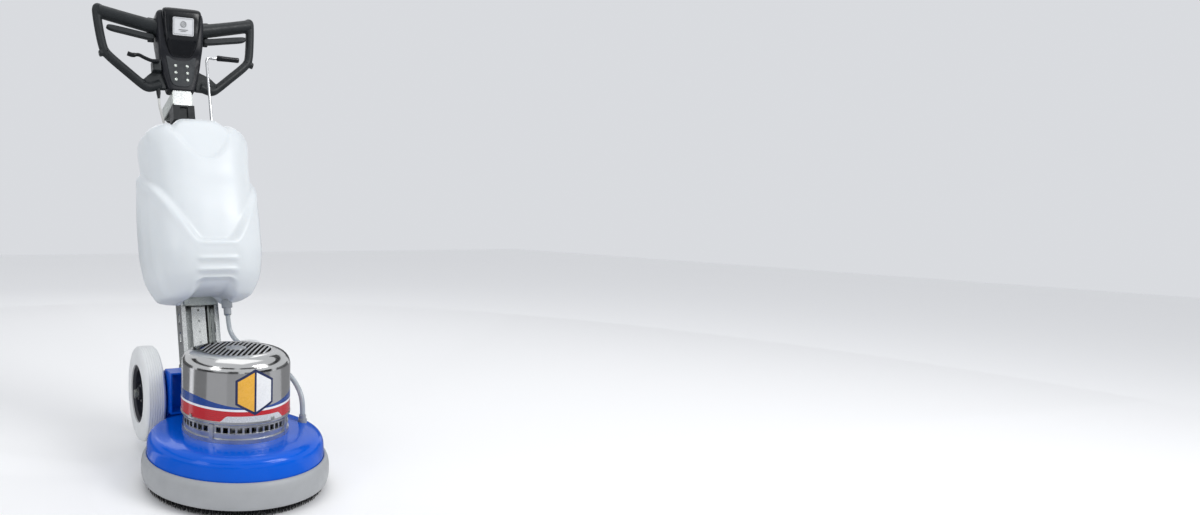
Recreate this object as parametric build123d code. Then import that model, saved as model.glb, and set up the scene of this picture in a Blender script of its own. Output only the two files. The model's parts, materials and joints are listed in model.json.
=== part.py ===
"""Single-disc rotary floor scrubber with a tilting handle and a solution tank.

Everything is worked out about the brush axis (X right, Y towards the operator, Z up from the
floor). save() then moves each piece so that the origin is the bottom centre of the whole machine.
The handle is worked out upright on its own pivot: X right, Y behind the column, Z along it.
"""
from build123d import *
from math import acos, atan2, cos, degrees, pi, radians, sin, tan
import os

# ---- driving dimensions, mm -------------------------------------------------------------
CENTRE_Y = 208.0          # bottom centre of the machine, behind the brush axis
FRINGE = 18.0             # bristle tips below the bumper
DECK_R = 212.0
DECK_WALL = 5.0
DECK_TOP = 131.0
BUMPER_R = 225.0
BUMPER_TOP = 76.0
RING_R = 124.0            # louvred ring under the motor cover
RING_TOP = 175.0
LOUVRE_LOW = 154.0
LOUVRE_HIGH = 167.0
COVER_R = 130.3
COVER_TOP = 322.0
COVER_VENT_R = 91.0
COVER_SHOULDER = 298.0
VENT_TURN = 57.0          # degrees that the vent's slots are turned from the X axis
MOTOR_BOLT_R = 106.0      # radius of the bolts that hold the motor frame on the deck
SLOT_COUNT = 48           # pitches of the louvres round the ring
CLIP_EVERY = 12

BRISTLE_ROOT = 42.0
BLOCK_TOP = 60.0
BLOCK_R = 198.0
BRISTLE_TIP_R = 214.0
BRISTLE_SPLIT_R = 162.0
BRISTLE_IN_R = 101.0
RED_R = 81.0
RED_IN_R = 57.0
RED_FACE = 12.0
SLOT_RING_R = 99.0
SLOT_RING_FACE = 18.0

MODULE = 1.5
PRESSURE = radians(25)
SUN_TEETH = 12
PLANET_TEETH = 36
RING_TEETH = 84
ADDENDUM = 0.8 * MODULE
DEDENDUM = 1.05 * MODULE
BACKLASH = 0.12
PLANET_ORBIT = MODULE * (SUN_TEETH + PLANET_TEETH) / 2
GEAR_BOTTOM = 99.0
GEAR_TOP = 119.0
SHAFT_R = 10.0
OUTPUT_R = 15.0
RUNNING = 0.05            # radial clearance of running fits

WHEEL_Y = 294.0
WHEEL_Z = 154.0
WHEEL_IN = 127.0
WHEEL_OUT = 177.0
TYRE_R = 124.0
HUB_R = 78.0
AXLE_R = 8.0

FRAME_X = 121.0           # half width of the rear frame
FRAME_PLATE = 4.0
PIVOT_Y = 262.0
PIVOT_Z = 152.0
PIVOT_R = 10.0
LEAN = 16.0               # degrees that the column leans back at rest

CHANNEL_X = 54.0          # half widths and depths of the column
CHANNEL_Y = 28.0
CHANNEL_WALL = 3.0
CHANNEL_TOP = 640.0
TUBE_X = 27.0
TUBE_FRONT = -12.0
TUBE_REAR = 20.0
TUBE_BOTTOM = 540.0
TUBE_TOP = 960.0

TANK_BACK = -33.0
TANK_WALL = 4.0
ROD_X = 69.0              # solution rod, through the tank
ROD_Y = -60.0
ROD_R = 4.0
ROD_TOP = 976.0
VALVE_SEAT = 226.0        # where the outlet sits under the tank
CAP_R = 31.0
CAP_Y = -69.0
CAP_SEAT = 732.5          # floor of the pocket that the filler cap sits in

LOCK_Y = 6.0              # lock bar, in the channel
HEAD_X = 71.0
GLAND_X = -69.0
BUTTON_R = 10.0
BUTTON_Z = 1050.0
SWITCH_PIVOT = (84.0, 1050.0)    # distance from the middle, and height, of the levers' pins
SWITCH_RISE = 7.2         # degrees that the switch levers slope, like the grips over them
TILT_PIVOT = (78.0, 967.0)
GRIP_R = 20.0
GUARD_R = 13.0

os.makedirs("parts", exist_ok=True)
SHIFT = Pos(0, -CENTRE_Y, 0)
HANDLE = Pos(0, PIVOT_Y, PIVOT_Z) * Rot(-LEAN, 0, 0)


# ---- helpers ----------------------------------------------------------------------------
def save(name, shape, frame=Pos(0, 0, 0)):
    export_step(SHIFT * frame * shape, f"parts/{name}.step")


def box(x0, x1, y0, y1, z0, z1):
    return Pos((x0 + x1) / 2, (y0 + y1) / 2, (z0 + z1) / 2) * Box(x1 - x0, y1 - y0, z1 - z0)


def disc(radius, z0, z1, x=0, y=0):
    return Pos(x, y, (z0 + z1) / 2) * Cylinder(radius, z1 - z0)


def ring(outer, inner, z0, z1, x=0, y=0):
    return disc(outer, z0, z1, x, y) - disc(inner, z0 - 1, z1 + 1, x, y)


def bar_x(radius, x0, x1, y, z):
    return Pos((x0 + x1) / 2, y, z) * Rot(0, 90, 0) * Cylinder(radius, x1 - x0)


def pin_y(radius, x, y0, y1, z):
    return Pos(x, (y0 + y1) / 2, z) * Rot(90, 0, 0) * Cylinder(radius, y1 - y0)


def turned(*outline):
    """A closed outline of (radius, height) points turned about the Z axis."""
    return revolve(Plane.XZ * make_face(Polyline(*outline, close=True)), Axis.Z)


def side_plate(outline, x0, x1):
    """A closed outline of (y, z) points as a plate from x0 to x1."""
    face = Plane.YZ * make_face(Polyline(*outline, close=True))
    return Pos(x0, 0, 0) * extrude(face, x1 - x0)


def front_plate(outline, y0, y1):
    """A closed outline of (x, z) points as a plate from y0 to y1."""
    face = Plane.XZ * make_face(Polyline(*outline, close=True))
    return Pos(0, y1, 0) * extrude(face, y1 - y0)


def strut(start, end, radius):
    """A round bar between two points, with round ends."""
    a, b = Vector(*start), Vector(*end)
    line = b - a
    from_start = (Align.CENTER, Align.CENTER, Align.MIN)
    bar = Plane(origin=a, z_dir=line) * Cylinder(radius, line.length, align=from_start)
    return bar + Pos(*start) * Sphere(radius) + Pos(*end) * Sphere(radius)


def around(count, shape, start=0.0):
    """Copies of a shape evenly spaced about the Z axis."""
    return [Rot(0, 0, start + 360 * i / count) * shape for i in range(count)]


def mirrored(shape):
    return shape + mirror(shape, Plane.YZ)


# ---- gears ------------------------------------------------------------------------------
def gear(teeth, root_r, tip_r, half_tooth, z0, z1, turn=0.0):
    """A spur gear. half_tooth is half the tooth's thickness on the pitch circle."""
    pitch_r = MODULE * teeth / 2
    base_r = pitch_r * cos(PRESSURE)
    steps = 5

    def half_angle(radius):
        slope = acos(base_r / max(radius, base_r))
        return half_tooth / pitch_r + (tan(PRESSURE) - PRESSURE) - (tan(slope) - slope)

    radii = [root_r + (tip_r - root_r) * i / (steps - 1) for i in range(steps)]
    points = []
    for tooth in range(teeth):
        centre = 2 * pi * tooth / teeth
        rising = [(r, centre - half_angle(r)) for r in radii]
        falling = [(r, centre + half_angle(r)) for r in reversed(radii)]
        points += [(r * cos(a), r * sin(a)) for r, a in rising + falling]
    blank = extrude(make_face(Polyline(*points, close=True)), z1 - z0)
    return Pos(0, 0, z0) * Rot(0, 0, turn) * blank


def outer_gear(teeth, z0, z1, turn=0.0):
    pitch_r = MODULE * teeth / 2
    half = pi * MODULE / 4 - BACKLASH / 2
    return gear(teeth, pitch_r - DEDENDUM, pitch_r + ADDENDUM, half, z0, z1, turn)


def make_gearbox():
    ring_pitch = MODULE * RING_TEETH / 2
    ring_out = 72.0
    wall_out = 80.0
    hub_out = 42.0
    cup = turned((OUTPUT_R + 6, 72), (hub_out, 72), (hub_out, 80), (wall_out, 80), (wall_out, 124),
                 (ring_out, 124), (ring_out, 89), (OUTPUT_R + 6, 89))
    cup -= disc(31, 71, 88)
    save("gearbox_housing", cup)
    lid = turned((SHAFT_R + 5, 124), (wall_out, 124), (wall_out, 131), (95, 131), (95, 137), (30, 137),
                 (30, 142), (SHAFT_R + 5, 142))
    lid -= disc(23.5, 123, 138)
    save("gearbox_lid", lid)
    spaces = gear(RING_TEETH, ring_pitch - ADDENDUM, ring_pitch + DEDENDUM,
                  pi * MODULE / 4 + BACKLASH / 2, GEAR_BOTTOM - 3, GEAR_TOP + 3, 180 / RING_TEETH)
    save("ring_gear", disc(ring_out, GEAR_BOTTOM - 2, GEAR_TOP + 2) - spaces)
    first = 90.0
    for i in range(3):
        angle = first + 120 * i
        blank = outer_gear(PLANET_TEETH, GEAR_BOTTOM, GEAR_TOP, angle - 180 / PLANET_TEETH)
        blank -= disc(6 + RUNNING, GEAR_BOTTOM - 1, GEAR_TOP + 1)
        for hole in around(6, disc(4.5, GEAR_BOTTOM - 1, GEAR_TOP + 1, x=15)):
            blank -= hole
        x, y = PLANET_ORBIT * cos(radians(angle)), PLANET_ORBIT * sin(radians(angle))
        save(f"planet_gear_{i + 1}", Pos(x, y, 0) * blank)
    carrier = disc(46, 90.5, 96.5) + disc(OUTPUT_R, 47, 91)
    for pin in around(3, disc(6, 96, GEAR_TOP + 1.5, x=PLANET_ORBIT), first):
        carrier += pin
    save("planet_carrier", carrier)


def bearing(inner, outer, z0, z1):
    """A ball bearing: two races, joined by its filled ball space."""
    race = (outer - inner) * 0.28
    body = ring(outer, inner, z0, z1)
    for z in (z0, z1):
        body -= ring(outer - race, inner + race, z - 0.8, z + 0.8)
    return body


def make_bearings():
    output = bearing(OUTPUT_R + RUNNING, 31, 72, 88)
    lower = bearing(SHAFT_R + RUNNING, 23.5, 124, 138)
    upper = bearing(SHAFT_R + RUNNING, 21, 275, 287)
    save("drive_bearings", Compound([output, lower, upper]))


# ---- motor ------------------------------------------------------------------------------
def make_motor():
    shaft = disc(SHAFT_R, GEAR_TOP, 312) + outer_gear(SUN_TEETH, GEAR_BOTTOM, GEAR_TOP)
    save("rotor_shaft", shaft)
    core = ring(59, SHAFT_R, 190, 262)
    for slot in around(24, box(56.5, 60, -0.8, 0.8, 189, 263)):
        core -= slot
    save("rotor_core", core)
    fan = ring(15, SHAFT_R, 293, 308) + ring(76, 14, 293, 295)
    for blade in around(11, Rot(0, 0, 28) * box(24, 70, -1, 1, 294, 306)):
        fan += blade
    save("cooling_fan", fan)
    stator = ring(100, 60, 186, 266) + ring(92, 68, 172, 187) + ring(92, 68, 265, 272)
    for slot in around(24, box(59, 66, -1.2, 1.2, 171, 273)):
        stator -= slot
    save("stator", stator)
    frame = ring(106, 100, DECK_TOP, 281) + ring(113, 96, DECK_TOP, 139)
    frame += ring(106, 20, 275, 281) + ring(28, 21, 274, 288)
    for opening in around(6, box(34, 90, -16, 16, 273, 282)):
        frame -= opening
    for window in around(12, box(95, 112, -9, 9, 150, 170)):
        frame -= window
    for hole in around(4, disc(3, 120, 145, x=MOTOR_BOLT_R) + disc(7, 139, 160, x=MOTOR_BOLT_R), 45):
        frame -= hole
    frame -= disc(21, 270, 290)
    save("motor_frame", frame)


def make_louvred_ring():
    body = ring(RING_R, RING_R - 6, DECK_TOP, RING_TOP)
    body += ring(RING_R + 4, RING_R - 6, DECK_TOP, DECK_TOP + 9)
    body += ring(RING_R + 2.5, RING_R - 6, LOUVRE_LOW - 3.5, LOUVRE_LOW - 0.5)
    body += ring(RING_R + 2.5, RING_R - 6, LOUVRE_HIGH + 0.5, LOUVRE_HIGH + 3.5)
    pitch = 360 / SLOT_COUNT
    for i in range(SLOT_COUNT):
        if i % CLIP_EVERY == CLIP_EVERY // 2:
            body += Rot(0, 0, pitch * i) * box(RING_R - 3, RING_R + 5, -5, 5, DECK_TOP, RING_TOP - 2)
        else:
            body -= Rot(0, 0, pitch * i) * box(RING_R - 9, RING_R + 9, -5.8, 5.8, LOUVRE_LOW, LOUVRE_HIGH)
    save("motor_base_ring", body)


def make_motor_cover():
    wall = 2.0

    def dome(inset, bottom):
        r, top, vent = COVER_R - inset, COVER_TOP - inset, COVER_VENT_R - inset
        shoulder = COVER_SHOULDER - inset / 2
        side = Line((0, bottom), (r, bottom)) + Line((r, bottom), (r, shoulder))
        corner = ThreePointArc((r, shoulder), (r - 11.5, top - 6), (vent, top))
        crown = Line((vent, top), (0, top + 3))
        close = Line((0, top + 3), (0, bottom))
        return revolve(Plane.XZ * make_face(side + corner + crown + close), Axis.Z)

    cover = dome(0, RING_TOP) - dome(wall, RING_TOP - 5)
    cover += ring(COVER_R + 0.8, COVER_R - wall, RING_TOP, RING_TOP + 4)
    plate_x, plate_y, vent_r, pitch = 28, 26, 82, 11.5
    for y in (pitch * k for k in range(-6, 7)):
        end = (vent_r ** 2 - y ** 2) ** 0.5
        spans = [(plate_x, end), (-end, -plate_x)] if abs(y) < plate_y else [(-end, end)]
        for x0, x1 in spans:
            cut = box(x0, x1, y - 2.9, y + 2.9, COVER_TOP - 17, COVER_TOP + 13)
            cover = cover - Rot(0, 0, VENT_TURN) * cut
    height = RING_TOP + 9
    for hole in around(4, bar_x(2, COVER_R - 9, COVER_R + 3, 0, height), 20):
        cover -= hole
    save("motor_cover", cover)
    screw = bar_x(2, COVER_R - 12, COVER_R + 0.5, 0, height) + bar_x(4, COVER_R, COVER_R + 3.6, 0, height)
    screw -= disc(COVER_R, height - 9, height + 9) - disc(COVER_R - 40, height - 9, height + 9) - bar_x(
        2, COVER_R - 20, COVER_R + 9, 0, height)
    bolt = disc(3, 118, 142) + extrude(Pos(0, 0, 139) * RegularPolygon(5.5, 6), 4)
    feet = [Rot(0, 0, 45 + 90 * i) * Pos(MOTOR_BOLT_R, 0, 0) * bolt for i in range(4)]
    save("motor_screws", Compound(around(4, screw, 20) + feet))


# ---- deck and rear frame ----------------------------------------------------------------
def make_deck():
    outer = turned((0, 32), (DECK_R, 32), (DECK_R, 112), (207, 122), (195, 126), (RING_R + 4, DECK_TOP),
                   (0, DECK_TOP))
    r = DECK_R - DECK_WALL
    hollow = turned((0, 31), (r, 31), (r, 109), (201, 117), (192, 120), (RING_R, DECK_TOP - 7),
                    (0, DECK_TOP - 7))
    deck = outer - hollow
    for rib in around(8, box(95, r + 1, -2, 2, 88, 124), 22.5):
        deck += rib & outer
    deck += ring(86, 78, 100, 128)
    deck -= disc(80, 90, 140)
    for hole in around(4, disc(3, 115, 140, x=MOTOR_BOLT_R), 45):
        deck -= hole
    deck -= disc(7, 115, 140, x=176, y=-4)
    save("deck", deck)
    lip = turned((215.5, FRINGE + 2), (218, FRINGE), (222, FRINGE + 5), (BUMPER_R, 40), (BUMPER_R, 62),
                 (222, 71), (215, BUMPER_TOP), (DECK_R, BUMPER_TOP), (DECK_R, 32), (215.5, 32))
    save("bumper_ring", lip)
    inlet = disc(11, DECK_TOP - 4, DECK_TOP + 5, x=176, y=-4) + disc(7, 112, DECK_TOP, x=176, y=-4)
    inlet += disc(8.6, DECK_TOP + 4, DECK_TOP + 15, x=176, y=-4)
    inlet -= disc(4.2, 105, 150, x=176, y=-4)
    # the deck falls away under the inlet's flange
    save("deck_inlet", inlet - (outer - disc(7, 100, 140, x=176, y=-4)))


def make_rear_frame():
    outline = [(150, 131.5), (150, 237), (206, 237), (224, 228), (315, 187), (322, 176), (322, 70),
               (203, 70), (203, 100), (186, 124), (180, 131.5)]
    cheek = side_plate(outline, FRAME_X - FRAME_PLATE, FRAME_X)
    boss = bar_x(17, FRAME_X, WHEEL_IN - 1.5, WHEEL_Y, WHEEL_Z)
    frame = mirrored(cheek + boss)
    frame += box(-FRAME_X, FRAME_X, 150, 206, 233, 237)
    frame += box(-FRAME_X, FRAME_X, 202, 206, 131.5, 235)
    frame += box(-FRAME_X, FRAME_X, 203, 322, 70, 74)
    frame += box(-FRAME_X, FRAME_X, 202, 206, 70, 134)
    frame += box(-FRAME_X, FRAME_X, 318, 322, 70, 88)
    # the plate over the deck is cut to the ring's outline, and everything stays clear of the skirt
    frame -= disc(COVER_R + 5, 125, 240)
    frame -= disc(DECK_R + 0.6, 60, 131.4)
    frame -= disc(BUMPER_R + 0.6, 60, BUMPER_TOP + 1)
    frame -= bar_x(AXLE_R, -200, 200, WHEEL_Y, WHEEL_Z)
    frame -= bar_x(PIVOT_R, -200, 200, PIVOT_Y, PIVOT_Z)
    frame += mirrored(box(70, FRAME_X, 150, 203, 131.0, 135)) - disc(COVER_R + 5, 125, 240)
    save("rear_frame", frame)

    sector = [(206, 112), (206, 225), (232, 232), (262, 236), (292, 226), (300, 190), (292, 130), (262, 112)]
    plate = side_plate(sector, 58, 61)
    slot_r, slot_half = 58.0, 4.5
    hoop = Cylinder(slot_r + slot_half, 200) - Cylinder(slot_r - slot_half, 210)
    arc = Pos(0, PIVOT_Y, PIVOT_Z) * Rot(0, 90, 0) * hoop
    keep = side_plate([(PIVOT_Y, PIVOT_Z), (PIVOT_Y - 30, PIVOT_Z + 90), (PIVOT_Y + 62, PIVOT_Z + 90)], 50, 70)
    plate -= arc & keep
    plates = mirrored(plate) - bar_x(PIVOT_R, -100, 100, PIVOT_Y, PIVOT_Z)
    save("sector_plates", plates)
    pin = bar_x(PIVOT_R, -FRAME_X - 3, FRAME_X + 3, PIVOT_Y, PIVOT_Z)
    pin += mirrored(bar_x(14, FRAME_X, FRAME_X + 3, PIVOT_Y, PIVOT_Z))
    pin += mirrored(bar_x(17, 61, 96, PIVOT_Y, PIVOT_Z))
    save("pivot_tube", pin)


# ---- wheels -----------------------------------------------------------------------------
def make_wheels():
    half = (WHEEL_OUT - WHEEL_IN) / 2
    middle = (WHEEL_OUT + WHEEL_IN) / 2
    tyre = turned((HUB_R, -half + 3), (HUB_R + 4, -half), (112, -half), (120, -half + 5),
                  (TYRE_R, -half + 14), (TYRE_R, half - 14), (120, half - 5), (112, half),
                  (HUB_R + 4, half), (HUB_R, half - 3))
    for z in (-10, -6, -2, 2, 6, 10):
        tyre -= ring(TYRE_R + 2, TYRE_R - 1.2, z - 0.7, z + 0.7)
    hub = turned((66, -half + 7), (HUB_R, -half + 3), (HUB_R, half - 3), (73, half - 2), (64, half - 8),
                 (64, -half + 12))
    hub += ring(17, AXLE_R + RUNNING, -half + 1, half - 2)
    hub += ring(24, 12, -half + 6, half - 9)
    spoke = front_plate([(13, -11), (40, -8.5), (67, -14), (67, 14), (40, 8.5), (13, 11)], -9, 11)
    spoke = Rot(90, 0, 0) * spoke
    for arm in around(3, spoke, 90):
        hub += arm
    hub -= disc(AXLE_R + RUNNING, -60, 60)
    bolt = disc(AXLE_R, -half - 16, half + 1) + extrude(Pos(0, 0, half + 1) * RegularPolygon(13, 6), 7)
    bolt += extrude(Pos(0, 0, -half - 18) * RegularPolygon(13, 6), 8)
    # facing left the wheel's outer face points to -X
    left = Pos(-middle, WHEEL_Y, WHEEL_Z) * Rot(0, -90, 0)
    right = Pos(middle, WHEEL_Y, WHEEL_Z) * Rot(0, 90, 0)
    for side, place in (("left", left), ("right", right)):
        save(f"tyre_{side}", place * tyre)
        save(f"wheel_hub_{side}", place * hub)
    save("axle_bolts", Compound([left * bolt, right * bolt]))


# ---- brush ------------------------------------------------------------------------------
def make_brush():
    block = ring(BLOCK_R, RED_IN_R, BRISTLE_ROOT, BLOCK_TOP)
    collar = ring(SLOT_RING_R, RED_R, SLOT_RING_FACE, BRISTLE_ROOT)
    for slot in around(36, box(86, 94, -4.2, 4.2, SLOT_RING_FACE - 1, SLOT_RING_FACE + 9)):
        collar -= slot
    save("brush_block", block + collar)
    red = ring(RED_R, RED_IN_R, RED_FACE, BRISTLE_ROOT)
    for pocket in around(16, box(66, 75, -6.5, 6.5, RED_FACE - 1, RED_FACE + 10)):
        red -= pocket
    red -= turned((RED_IN_R - 1, RED_FACE - 1), (RED_IN_R + 6, RED_FACE - 1), (RED_IN_R - 1, RED_FACE + 14))
    save("brush_centre_ring", red)
    black = turned((BRISTLE_SPLIT_R, 0), (BRISTLE_TIP_R, 0), (BLOCK_R - 3, BRISTLE_ROOT),
                   (BRISTLE_SPLIT_R, BRISTLE_ROOT))
    save("bristles_outer", black)
    white = turned((BRISTLE_IN_R, 3), (BRISTLE_SPLIT_R, 3), (BRISTLE_SPLIT_R, BRISTLE_ROOT),
                   (BRISTLE_IN_R + 3, BRISTLE_ROOT))
    save("bristles_inner", white)
    boss = disc(76, BLOCK_TOP, BLOCK_TOP + 8) + disc(34, 44, BLOCK_TOP + 1)
    for lug in around(3, box(20, 52, -13, 13, 44, BLOCK_TOP + 1), 30):
        boss += lug
    boss -= disc(OUTPUT_R, 30, 90)
    for hole in around(6, disc(3.2, 55, 75, x=67)):
        boss -= hole
    save("drive_boss", boss)


# ---- column -----------------------------------------------------------------------------
def make_column():
    wall = CHANNEL_WALL
    channel = box(-CHANNEL_X, CHANNEL_X, -CHANNEL_Y, CHANNEL_Y, -30, CHANNEL_TOP)
    inner_x, inner_y = CHANNEL_X - wall, CHANNEL_Y - wall
    channel -= box(-inner_x, inner_x, -CHANNEL_Y - 1, inner_y, -31, CHANNEL_TOP + 1)
    channel += mirrored(box(CHANNEL_X - 12, CHANNEL_X, -CHANNEL_Y, -CHANNEL_Y + wall, 40, CHANNEL_TOP))
    for z in (153, 205):
        slot = box(-60, 60, -7, 7, z - 9, z + 9) + bar_x(7, -60, 60, 0, z - 9) + bar_x(7, -60, 60, 0, z + 9)
        channel -= slot
    channel -= bar_x(PIVOT_R + RUNNING, -60, 60, 0, 0)
    channel -= box(-60, 60, LOCK_Y - 5, LOCK_Y + 5, 60, 100)
    save("column_channel", channel, HANDLE)

    plate = box(-21, 19, -13, -10, 118, TUBE_BOTTOM) + box(-21, -18, -10, 25, 118, TUBE_BOTTOM)
    for z in (135, 165, 195, 225, 255):
        plate -= Pos(-1, -12, z) * Rot(90, 0, 0) * Cylinder(3.2, 12)
    save("column_inner_plate", plate, HANDLE)

    tube = box(-TUBE_X, TUBE_X, TUBE_FRONT, TUBE_REAR, TUBE_BOTTOM, TUBE_TOP)
    bore_x, front, rear = TUBE_X - 2.5, TUBE_FRONT + 2.5, TUBE_REAR - 2.5
    tube -= box(-bore_x, bore_x, front, rear, TUBE_BOTTOM - 1, TUBE_TOP + 1)
    for hole in screw_bars(2.5, -30, -5):
        tube -= hole
    save("upper_tube", tube, HANDLE)

    spacer = box(-CHANNEL_X + wall, CHANNEL_X - wall, TUBE_FRONT - 8, CHANNEL_Y - wall, 590, 630)
    spacer -= box(-TUBE_X, TUBE_X, TUBE_FRONT, TUBE_REAR, 580, 640)
    clamp = box(-33, 33, TUBE_FRONT - 7, 26, 792, 838)
    clamp -= box(-TUBE_X, TUBE_X, TUBE_FRONT, TUBE_REAR, 780, 850)
    clamp -= box(-12, 12, TUBE_FRONT - 8, TUBE_FRONT - 2, 797, 832)
    save("sleeve_block", Compound([clamp, spacer]), HANDLE)

    guard = box(-CHANNEL_X + wall, CHANNEL_X - wall, -CHANNEL_Y - 16, -CHANNEL_Y, 40, 96)
    guard = fillet(guard.faces().sort_by(Axis.Y)[0].edges().filter_by(Axis.X), 9)
    guard -= box(-46, 46, -CHANNEL_Y - 13, -CHANNEL_Y + 1, 30, 92)
    save("foot_cover", guard, HANDLE)

    upper = box(-46, 46, TANK_BACK, -CHANNEL_Y, 560, 600)
    lower = box(-46, 46, TANK_BACK - 9, -CHANNEL_Y, 236, 240) + box(-46, 46, TANK_BACK, -CHANNEL_Y, 240, 268)
    save("tank_brackets", Compound([upper, lower]), HANDLE)


def make_control_box():
    back, seam, top = CHANNEL_Y, 71.0, 103.0
    x, z0, z1 = 65.0, 400.0, 625.0
    base = box(-x, x, back, seam, z0, z1)
    base = fillet(base.edges().filter_by(Axis.Y), 7)
    base -= box(-x + 3, x - 3, back + 3, seam + 1, z0 + 3, z1 - 3)
    base -= Pos(-40, 58, z1) * Cylinder(4, 20)
    lid = box(-x, x, seam, top, z0, z1)
    lid = fillet(lid.edges().filter_by(Axis.Y), 7)
    lid = fillet(lid.faces().sort_by(Axis.Y)[-1].edges(), 3)
    lid -= box(-x + 3, x - 3, seam - 1, top - 3, z0 + 3, z1 - 3)
    lid -= box(-x - 1, x + 1, seam - 1, seam + 1.2, z0 - 1, z1 + 1) - box(
        -x + 1.2, x - 1.2, seam - 2, seam + 2, z0 + 1.2, z1 - 1.2)
    save("control_box", base, HANDLE)
    save("control_box_lid", lid, HANDLE)


def make_rest_bracket():
    z0, z1, reach = 845.0, 883.0, 118.0
    legs = mirrored(box(TUBE_X, TUBE_X + 3, TUBE_FRONT, reach, z0, z1))
    bracket = legs + box(-TUBE_X - 3, TUBE_X + 3, reach - 3, reach, z0, z1)
    save("rest_bracket", bracket, HANDLE)
    buffer = Cylinder(17, 24) - Pos(0, 0, -12) * Cylinder(6, 6)
    foot = Pos(0, reach + 12, (z0 + z1) / 2) * Rot(90, 0, 0) * buffer
    save("rest_foot", foot, HANDLE)


# ---- handle head ------------------------------------------------------------------------
def screw_bars(radius, y0, y1):
    """Bars along Y at the places of the six chest screws."""
    return [pin_y(radius, x, y0, y1, z) for x in (-18, 18) for z in (918, 939, 960)]


def head_solid():
    side = [(-17, 893), (-27, 980), (-44, 1012), (-66, 1026), (-88, 1096), (-82, 1116), (-50, 1129),
            (14, 1122), (27, 1100), (27, 893)]
    front = [(-37, 880), (-60, 950), (-64, 1010), (-HEAD_X, 1090), (-HEAD_X + 2, 1140), (HEAD_X - 2, 1140),
             (HEAD_X, 1090), (64, 1010), (60, 950), (37, 880)]
    return side_plate(side, -90, 90) & front_plate(front, -120, 60)


def make_head():
    split = 4.0
    solid = head_solid()
    cavity = box(-48, 48, -14, 23, 902, 1100) & front_plate(
        [(-33, 890), (-52, 950), (-52, 1110), (52, 1110), (52, 950), (33, 890)], -60, 60)
    raised = [(-60, 1042), (-77, 1094), (-72, 1108), (-48, 1120), (-13, 1116), (-13, 1042)]
    cavity += side_plate(raised, -58, 58)
    shell = solid - cavity - box(-TUBE_X, TUBE_X, TUBE_FRONT, TUBE_REAR, 880, TUBE_TOP)
    # a recess under the raised face, and the label's seat
    recess = box(-46, 46, -70, -33, 1016, 1034)
    shell -= recess
    tilt = degrees(atan2(-66 + 88, 1096 - 1026))
    face = Pos(0, -77, 1061) * Rot(-90 + tilt, 0, 0)
    shell -= face * Pos(0, 0, 1.5) * Box(66, 54, 3)
    for hole in screw_bars(2.5, -40, 0):
        shell -= hole
    front = shell & box(-100, 100, -130, split, 850, 1200)
    rear = shell & box(-100, 100, split, 60, 850, 1200)
    save("head_cover", front, HANDLE)
    save("head_rear_cover", rear - pin_y(BUTTON_R + 0.3, 0, 10, 60, BUTTON_Z), HANDLE)
    label = fillet(Box(64, 52, 1.6).edges().filter_by(Axis.Z), 4)
    save("head_label_plate", face * Pos(0, 0, 0.8) * label, HANDLE)
    screws = []
    face_plate = side_plate([(-19.4, 893), (-29.4, 980), (-27, 980), (-17, 893)], -30, 30)
    inside = side_plate([(-19.4, 893), (-29.4, 980), (0, 980), (0, 893)], -30, 30)
    for shank, cap in zip(screw_bars(2.5, -34, -7), screw_bars(4.4, -34, -7)):
        screws.append((shank & inside) + (cap & face_plate))
    save("head_screws", Compound(screws), HANDLE)
    save("interlock_button", pin_y(BUTTON_R, 0, 13, 31, BUTTON_Z), HANDLE)


def make_handlebars():
    grip_out, grip_in, corner = (238, -7, 1129), (74, -24, 1083), (246, -6, 1142)
    guard, low, root = (233, -5, 1002), (103, 2, 899), (66, 0, 912)
    side = strut(grip_in, grip_out, GRIP_R) + strut(corner, guard, GUARD_R + 1)
    side += strut(guard, low, GUARD_R) + strut(low, root, GUARD_R)
    web = front_plate([(52, 902), (104, 892), (120, 912), (64, 958)], -4, 6)
    side += web
    nub = strut(guard, (247, -5, 992), GUARD_R - 2)
    side += nub
    # an ear and its pin behind each switch lever
    x, z = SWITCH_PIVOT
    side += box(x - 10, x + 10, -12, -6, z - 9, 1084) + pin_y(3, x, -27, -11, z)
    trimmed = side - head_solid() - box(-60, 60, -100, 100, 850, 1200)
    guide = box(58, 80, ROD_Y - 8, -20, 948, 953) + box(58, 66, -30, 0, 940, 953)
    guide -= disc(ROD_R + 0.4, 940, 960, x=ROD_X, y=ROD_Y)
    save("handlebar_right", trimmed + (guide - head_solid()), HANDLE)
    x, z = TILT_PIVOT
    lug = box(-x - 9, -60, -29.5, 2, z - 9, z + 9) + box(-x - 9, -60, -3, 2, 925, z) + pin_y(3, -x, -38, -28, z)
    left = mirror(trimmed, Plane.YZ) + (lug - head_solid()) - disc(6.5, 870, 930, x=GLAND_X)
    save("handlebar_left", left, HANDLE)

    x, z = SWITCH_PIVOT
    paddle = box(0, 136, -27, -13, -7, 7)
    paddle = fillet(paddle.edges().filter_by(Axis.X), 4)
    paddle = Pos(x, 0, z) * Rot(0, -SWITCH_RISE, 0) * paddle + pin_y(8, x, -27, -13, z)
    paddle -= pin_y(3 + RUNNING, x, -40, 0, z)
    save("switch_lever_right", paddle, HANDLE)
    save("switch_lever_left", mirror(paddle, Plane.YZ), HANDLE)


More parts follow.
